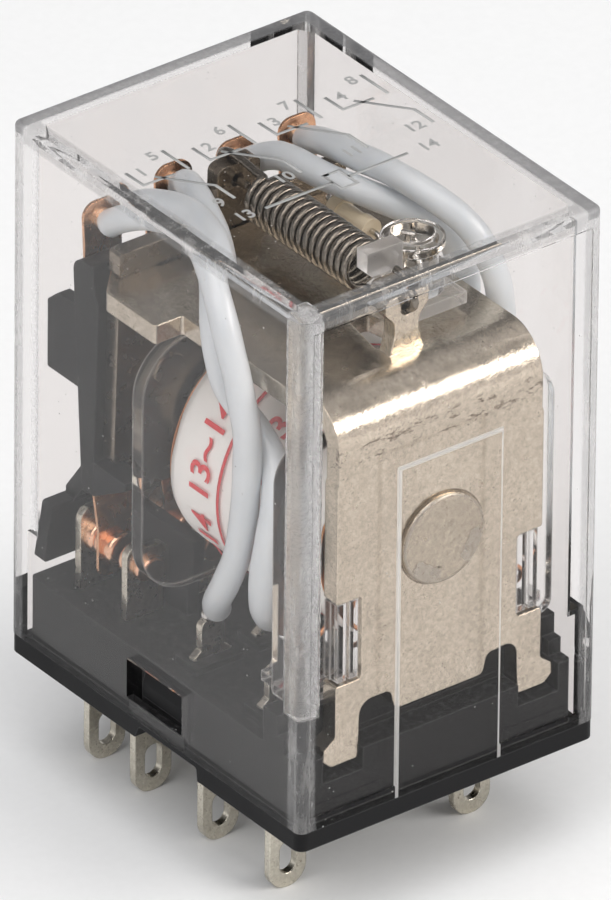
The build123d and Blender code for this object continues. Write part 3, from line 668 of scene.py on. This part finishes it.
def strip_mesh(points, width, thickness=0.02):
    """A flat line through points in X and Y, with mitred corners."""
    verts = []
    faces = []
    count = len(points)
    for index, point in enumerate(points):
        here = Vector(point)
        before = (here - Vector(points[index - 1])).normalized() if index else None
        after = (Vector(points[index + 1]) - here).normalized() if index < count - 1 else None
        next_run = after or before
        along = ((before or after) + next_run).normalized()
        side = Vector((-along.y, along.x))
        reach = width / 2 / max(0.5, abs(side.dot(Vector((-next_run.y, next_run.x)))))
        for w in (-thickness / 2, thickness / 2):
            for sign in (-1, 1):
                spot = here + side * reach * sign
                verts.append((spot.x, spot.y, w))
    for index in range(count - 1):
        a = index * 4
        b = a + 4
        faces += [(a, b, b + 1, a + 1), (a + 2, a + 3, b + 3, b + 2)]
        faces += [(a, a + 2, b + 2, b), (a + 1, b + 1, b + 3, a + 3)]
    end = count * 4
    faces += [(0, 1, 3, 2), (end - 4, end - 2, end - 1, end - 3)]
    return plain_mesh("line", verts, faces)


def blob_mesh(name, spots):
    """Solder: a lumpy skin round a few (x, y, z, radius) spots, smoothed together."""
    skin_step = 0.1
    balls = bpy.data.metaballs.new(name)
    balls.resolution = skin_step
    balls.render_resolution = skin_step
    balls.threshold = 0.5
    for x, y, z, r in spots:
        ball = balls.elements.new()
        ball.co = (x, y, z)
        # The skin lies well inside a ball's radius
        ball.radius = r * 1.55
    mesh = made_mesh(name, balls)
    bpy.data.metaballs.remove(balls)
    # A skin this fine is only made at a large size, so it is made in millimetres
    mesh.transform(Matrix.Scale(MM, 4))
    return mesh


def joined(name, meshes):
    """One mesh from several."""
    verts = []
    faces = []
    for mesh in meshes:
        start = len(verts)
        verts += [tuple(vertex.co) for vertex in mesh.vertices]
        faces += [tuple(start + index for index in face.vertices) for face in mesh.polygons]
        bpy.data.meshes.remove(mesh)
    return plain_mesh(name, verts, faces)


# ---------------------------------------------------------------- pieces

LEAD_START = (-8.7, 29.6)
LEAD_ROUTES = (
    ((-7.2, -6.75, 30.8), (-5.2, -6.55, 31.8), (-2.8, -6.25, 32.4), (0.2, -6.9, 32.6), (2.6, -8.0, 32.3),
     (4.2, -8.58, 30.9), (5.3, -8.6, 28.6), (6.2, -8.61, 26.2), (6.9, -8.6, 24.0), (6.85, -8.61, 21.4),
     (6.65, -8.6, 18.6), (6.1, -8.58, 15.8), (4.9, -8.45, 13.2), (3.2, -8.0, 10.9)),
    ((-7.3, -3.1, 31.0), (-5.2, -4.0, 31.6), (-2.8, -4.8, 31.4), (-0.4, -5.8, 30.9), (1.5, -7.0, 30.4),
     (2.8, -8.0, 29.3), (3.5, -8.25, 27.6), (4.05, -8.2, 25.9), (4.8, -7.5, 24.2), (6.0, -6.9, 22.9),
     (7.4, -6.95, 21.6), (8.55, -7.85, 19.9), (8.5, -8.35, 17.3), (8.0, -8.3, 14.8), (7.2, -7.7, 12.4),
     (5.6, -6.0, 10.2), (3.8, -4.4, 9.1)),
    ((-7.1, 2.75, 30.9), (-4.8, 2.75, 31.5), (-2.4, 3.1, 31.4), (-0.2, 3.9, 31.25), (1.5, 5.3, 30.65),
     (2.7, 6.8, 29.8), (3.3, 8.0, 28.4), (3.7, 8.3, 26.6), (4.35, 7.7, 24.8), (5.2, 7.0, 23.3),
     (6.4, 6.76, 22.1), (7.9, 7.45, 20.8), (8.65, 8.25, 18.9), (8.4, 8.38, 16.6), (7.9, 8.2, 14.4),
     (7.0, 7.4, 12.1), (5.4, 5.9, 10.1), (3.8, 4.4, 9.1)),
    ((-7.0, 6.1, 30.6), (-4.8, 5.3, 31.7), (-2.2, 5.0, 32.3), (0.6, 5.25, 32.65), (3.2, 6.0, 32.1),
     (5.2, 7.4, 30.7), (6.3, 8.4, 28.4), (6.6, 8.6, 25.6), (6.4, 8.6, 22.4), (6.3, 8.6, 19.2),
     (5.9, 8.58, 16.0), (4.7, 8.45, 13.1), (3.1, 8.0, 10.8)),
)


def make_leads():
    """The four insulated leads, with slightly uneven insulation."""
    material = lead_plastic()
    for index, (y, route) in enumerate(zip(COLUMNS, LEAD_ROUTES)):
        name = f"lead_{index + 1}"
        # The two outer leads come down beside their terminals, the two inner ones from further out
        end_y, end_z = (y * 1.03, 9.35) if abs(y) > 5 else (y * 1.35, 8.6)
        start = (LEAD_START[0], y, LEAD_START[1])
        points = (start,) + route + ((ROW_COMMON + 0.9, end_y, end_z),)
        mesh = wire_mesh(name, points, LEAD_D, sides=7, steps=14)
        for vertex in mesh.vertices:
            vertex.co += vertex.normal * (noise.noise(vertex.co * 420) * 0.05 * MM)
        lead = piece(name, mesh, material)
        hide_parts(f"lead_wire_{index + 1}")
        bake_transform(lead)


def make_spring():
    """The return spring: a close coil whose ends hook into the armature's tongue and the yoke's post."""
    radius, pitch, turns = 1.35, 0.6, 15.5
    y, z, start = -0.1, 30.5, -3.7
    wire = 0.5
    per_turn = 20
    points = [(-5.2, y, z), (-6.2, y, z), (-7.3, y, z), (-7.95, y, z + 0.5), (-7.8, y, z + 1.2),
              (-6.9, y, z + 1.5), (-5.6, y, z + 1.45), (-4.4, y - 0.1, z + 1.38)]
    for step in range(int(turns * per_turn) + 1):
        angle = 2 * math.pi * step / per_turn
        x = start + pitch * step / per_turn
        points.append((x, y - radius * math.sin(angle), z + radius * math.cos(angle)))
    points += [(6.0, y + 0.1, 29.15), (6.6, y, 29.4), (7.3, 0, 30.0), (8.4, 0, 30.2), (9.3, 0, 30.3),
               (9.7, 0, 30.9), (9.2, 0, 31.6), (8.3, 0, 31.6)]
    mesh = wire_mesh("spring_coil", points, wire, sides=4, steps=2)
    spring = piece("spring_coil", mesh, bpy.data.materials["spring_metal"])
    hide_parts("return_spring")
    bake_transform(spring)


def make_tape():
    """The tape wound on the coil: slightly loose, with an overlapped end and drooping edges."""
    around, along = 120, 20
    thickness = 0.14
    verts = []
    faces = []
    for shell in (0.0, -thickness):
        for i in range(around + 1):
            turn = i / around
            angle = 2 * math.pi * turn
            for j in range(along + 1):
                x = TAPE_X[0] + (TAPE_X[1] - TAPE_X[0]) * j / along
                place = Vector((x * 0.35, math.sin(angle) * 2, math.cos(angle) * 2))
                slack = noise.noise(place) * 0.16 - 0.1 + 0.12 * turn
                droop = -0.22 * max(0.0, 1 - min(j, along - j) / 2.0) ** 2
                r = TAPE_R + slack + droop + shell
                verts.append((x * MM, -r * math.sin(angle) * MM, (COIL_Z + r * math.cos(angle)) * MM))
    stride = along + 1
    inner = (around + 1) * stride
    for i in range(around):
        for j in range(along):
            a = i * stride + j
            b = a + inner
            faces.append((a, a + 1, a + stride + 1, a + stride))
            faces.append((b, b + stride, b + stride + 1, b + 1))
    for i in range(around):
        a = i * stride
        b = a + along
        faces.append((a, a + stride, a + stride + inner, a + inner))
        faces.append((b, b + inner, b + stride + inner, b + stride))
    for i in (0, around):
        for j in range(along):
            a = i * stride + j
            quad = (a, a + inner, a + inner + 1, a + 1)
            faces.append(quad if i == 0 else quad[::-1])
    wrap = piece("coil_wrap", plain_mesh("coil_wrap", verts, faces), tape_film(), "base")
    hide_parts("coil_tape")


def wrapped(mesh, x, angle):
    """Bends a flat mesh round the coil: its X runs round the coil and its Y towards -X."""
    above_tape = 0.07
    for vertex in mesh.vertices:
        u, v, w = vertex.co
        r = TAPE_R + above_tape + w
        turn = angle - u / TAPE_R
        vertex.co = Vector(((x - v), -r * math.sin(turn), COIL_Z + r * math.cos(turn))) * MM
    return mesh


def make_tape_marks():
    """Red lines and terminal numbers printed on the tape, all round the coil."""
    marks = []
    circle = [(u * 0.6, 0) for u in range(0, 78)]
    for x in (2.6, 6.9):
        marks.append(wrapped(strip_mesh(circle, 0.24), x, 0.0))
    turn = 0.2
    while turn < 6.1:
        for x, ahead in ((1.7, 0.0), (6.0, 0.35)):
            marks.append(wrapped(letter_mesh("13~14", 2.5, 0.03), x, turn + ahead))
        turn += 1.0
    piece("wrap_marks", joined("wrap_marks", marks), ink("red_ink", (0.72, 0.06, 0.07)), "base")


def make_print():
    """The wiring diagram printed on the roof: numbers, contacts and the coil. No names or ratings."""
    above_roof = 0.012
    width = 0.21
    size = 1.25
    flat = []

    def line(points):
        flat.append(strip_mesh(points, width))

    def number(text, x, y):
        mesh = letter_mesh(text, size, 0.025)
        for vertex in mesh.vertices:
            u, v, w = vertex.co
            vertex.co = (x - (v - size * 0.35), y + u, w)
        flat.append(mesh)

    for column, y in enumerate((-6.75, -2.05, 2.65, 7.35)):
        line([(-5.1, y - 2.2), (-3.45, y - 2.15), (-3.4, y)])
        line([(-5.9, y + 0.95), (-3.4, y + 1.0)])
        line([(-3.85, y - 1.1), (-1.05, y + 1.1), (0.7, y + 1.12)])
        number(str(column + 1), -4.7, y - 1.4)
        number(str(column + 5), -5.75, y + 0.15)
    for text, x, y in (("9", 0.55, -6.6), ("10", 0.5, -2.0), ("11", 0.5, 2.8), ("12", 0.4, 7.3),
                       ("13", 2.5, -6.3), ("14", 2.5, 6.7)):
        number(text, x, y)
    line([(2.6, -4.9), (2.6, -0.15)])
    line([(2.6, 0.95), (2.55, 5.2)])
    line([(1.75, -0.15), (1.75, 0.95), (3.45, 0.95), (3.45, -0.15), (1.75, -0.15), (1.75, 0.2)])
    mesh = joined("roof_print", flat)
    for vertex in mesh.vertices:
        vertex.co = (vertex.co + Vector((0, 0, ROOF_Z + above_roof))) * MM
    piece("roof_print", mesh, ink("grey_ink", (0.37, 0.37, 0.365)), "cover")


def make_solder():
    """Solder on the common and coil terminals."""
    x = ROW_COMMON
    spots = []
    for y in COLUMNS:
        spots += [(x, y, 8.3, 0.4), (x + 0.1, y - 0.3, 8.5, 0.38), (x + 0.5, y, 8.7, 0.32)]
        spots += [(x, y + 0.35, 8.1, 0.3), (x - 0.1, y - 0.2, 7.6, 0.3)]
    x = ROW_COIL
    for y in COIL_COLUMNS:
        spots += [(x, y, 8.4, 0.42), (x - 0.1, y + 0.3, 8.7, 0.36), (x + 0.15, y - 0.3, 8.2, 0.36)]
    mesh = blob_mesh("terminal_joints", spots)
    solder = piece("terminal_joints", mesh, bpy.data.materials["solder_metal"], "base")
    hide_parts("terminal_solder")


def make_core_end():
    """The core's end, riveted over the yoke: a low disc with two chisel marks at its rim."""
    rings, around = 16, 72
    rise = 0.4
    back_x = YOKE_FACE_X - 0.05
    round_from, round_depth = 0.93, 0.14
    # Direction and depth of each chisel mark, their middle's distance from the axis, and their size
    chisels = ((math.radians(236), 0.2), (math.radians(-28), 0.16))
    chisel_from_axis, chisel_half, chisel_start, chisel_slope = 2.45, 0.95, 0.7, 0.1
    verts = [((YOKE_FACE_X + rise) * MM, 0, COIL_Z * MM)]
    faces = []
    for ring in range(1, rings + 1):
        share = ring / rings
        for step in range(around):
            angle = 2 * math.pi * step / around
            y = CORE_END_R * share * math.cos(angle)
            z = CORE_END_R * share * math.sin(angle)
            height = rise - 0.04 * share ** 2
            if share > round_from:
                height -= round_depth * (share - round_from) / (1 - round_from)
            for mark, depth in chisels:
                local_y = y - chisel_from_axis * math.cos(mark)
                local_z = z - chisel_from_axis * math.sin(mark)
                out = local_y * math.cos(mark) + local_z * math.sin(mark)
                across = -local_y * math.sin(mark) + local_z * math.cos(mark)
                if abs(across) < chisel_half and out > -chisel_start:
                    height -= depth * min(1, (out + chisel_start) / chisel_slope)
            height += noise.noise(Vector((y * 1.3, z * 1.3, 0))) * 0.03
            verts.append(((YOKE_FACE_X + height) * MM, y * MM, (COIL_Z + z) * MM))
    for step in range(around):
        angle = 2 * math.pi * step / around
        y = CORE_END_R * math.cos(angle)
        z = COIL_Z + CORE_END_R * math.sin(angle)
        verts.append((back_x * MM, y * MM, z * MM))
    verts.append((back_x * MM, 0, COIL_Z * MM))
    last = 1 + rings * around
    for step in range(around):
        follow = (step + 1) % around
        faces.append((0, 1 + step, 1 + follow))
        for ring in range(rings):
            a = 1 + ring * around
            b = a + around
            faces.append((a + step, b + step, b + follow, a + follow))
        faces.append((last + step, len(verts) - 1, last + follow))
    mesh = plain_mesh("core_end", verts, faces)
    piece("core_end", mesh, bpy.data.materials["core_end_metal"], "base")


def make_lamp_parts():
    """The lamp's two posts and its cup, seen through the clear dome."""
    x, y, z = 5.3, 3.5, 28.8
    short = [(x - 0.5, y, z + 0.1), (x - 0.5, y, z + 0.9), (x - 0.4, y, z + 1.6)]
    bent = [(x + 0.5, y, z + 0.1), (x + 0.5, y, z + 0.8), (x + 0.3, y, z + 1.3), (x + 0.1, y, z + 1.5)]
    cup = [(x - 0.75, y - 0.2, z + 1.7), (x - 0.4, y, z + 1.75), (x - 0.05, y + 0.2, z + 1.7)]
    posts = [wire_mesh("post", short, 0.35), wire_mesh("post", bent, 0.3), wire_mesh("cup", cup, 0.5)]
    piece("lamp_posts", joined("lamp_posts", posts), bpy.data.materials["tinned_wire"], "base")


make_camera()
make_world()
make_floor()
for light in LIGHTS:
    make_light(*light)
paint_frame()
make_leads()
make_spring()
make_tape()
make_tape_marks()
make_print()
make_solder()
make_core_end()
make_lamp_parts()
scene.view_settings.view_transform = "Standard"
